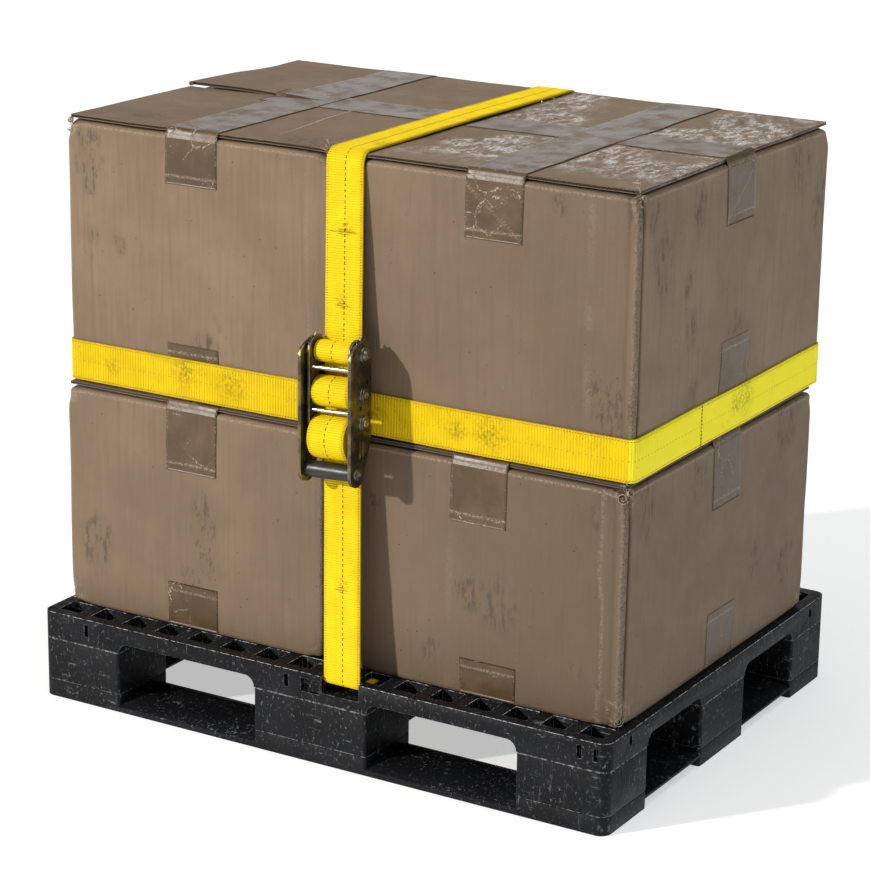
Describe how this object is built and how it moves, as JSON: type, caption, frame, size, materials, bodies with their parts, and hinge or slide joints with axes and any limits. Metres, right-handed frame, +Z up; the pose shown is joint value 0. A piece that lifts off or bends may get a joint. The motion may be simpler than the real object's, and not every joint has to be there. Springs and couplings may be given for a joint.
{
  "type": "strapped stack of cartons",
  "caption": "Taped brown cartons stacked on a black plastic half pallet, held by a yellow webbing band and a ratchet lashing.",
  "frame": {"origin": "middle of the pallet's underside, on the floor", "axes": "+Z up, +X to the right along the pallet's long side, the ratchet's side faces -Y"},
  "size_m": [0.8, 0.6183, 0.7355],
  "materials": {
    "black_plastic": "matt, scuffed",
    "cardboard": "matt kraft board, stained",
    "brown_film": "glossy film, creased",
    "yellow_webbing": "woven polyester",
    "black_grip": "satin",
    "bright_rod": "bright",
    "plated_steel": "worn olive-grey zinc plating"
  },
  "bodies": {
    "load": {"pallet_deck": "black_plastic", "pallet_blocks": "black_plastic", "pallet_base": "black_plastic", "carton_lower_left": "cardboard", "carton_lower_right": "cardboard", "carton_upper_left": "cardboard", "carton_upper_right": "cardboard", "tape_lower_left": "brown_film", "tape_lower_right": "brown_film", "tape_upper_left": "brown_film", "tape_upper_right": "brown_film", "horizontal_strap": "yellow_webbing", "lashing_strap": "yellow_webbing", "ratchet_frame": "plated_steel", "ratchet_spindle": "plated_steel", "ratchet_idler_bolt": "plated_steel", "ratchet_end_bolt": "plated_steel", "ratchet_rods": "bright_rod"},
    "handle": {"ratchet_handle": "plated_steel", "ratchet_grip": "black_grip", "ratchet_grip_bolt": "plated_steel", "ratchet_rivets": "plated_steel"}
  },
  "joints": [
    {"name": "handle_hinge", "type": "hinge", "parent": "load", "child": "handle", "pos_m": [0.02576, -0.2803, 0.50675], "axis": [-0.9991, -0.0029, -0.0427], "range_deg": [0, 120]}
  ]
}
